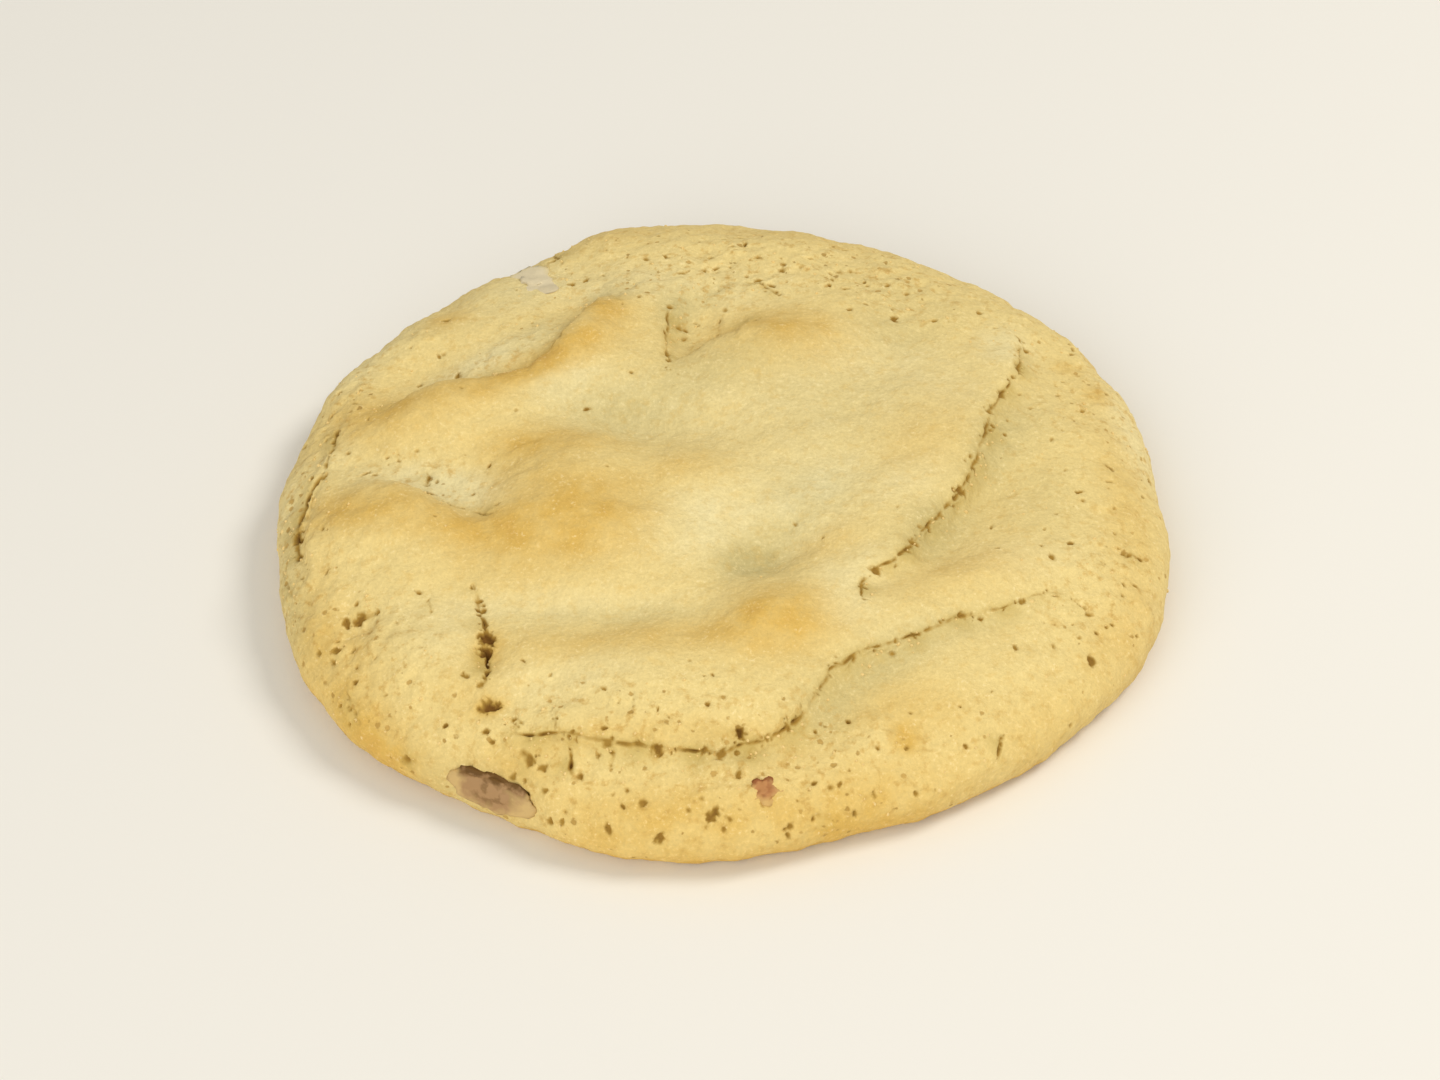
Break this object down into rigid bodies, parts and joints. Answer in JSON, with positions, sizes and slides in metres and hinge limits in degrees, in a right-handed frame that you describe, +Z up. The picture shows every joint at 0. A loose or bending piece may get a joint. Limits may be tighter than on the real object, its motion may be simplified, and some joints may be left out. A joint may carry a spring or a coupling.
{
  "type": "cookie",
  "caption": "Soft baked round cookie with a low folded dome, wandering cracks and small lumps of filling showing at its edge.",
  "frame": {"origin": "on the surface that the cookie rests on, under the middle of its bounding box", "axes": "+Z up through the top crust, +Y to the back of the cookie as it lies in the picture, +X to its right"},
  "size_m": [0.094, 0.096, 0.0145],
  "materials": {
    "crust": "matte baked dough, golden on the crests and pale grey-green in the hollows",
    "pale_filling": "pale waxy lump of filling",
    "dark_filling": "brown and reddish lumps of filling, satin"
  },
  "bodies": {
    "root": {"cookie": "crust"}
  },
  "joints": []
}
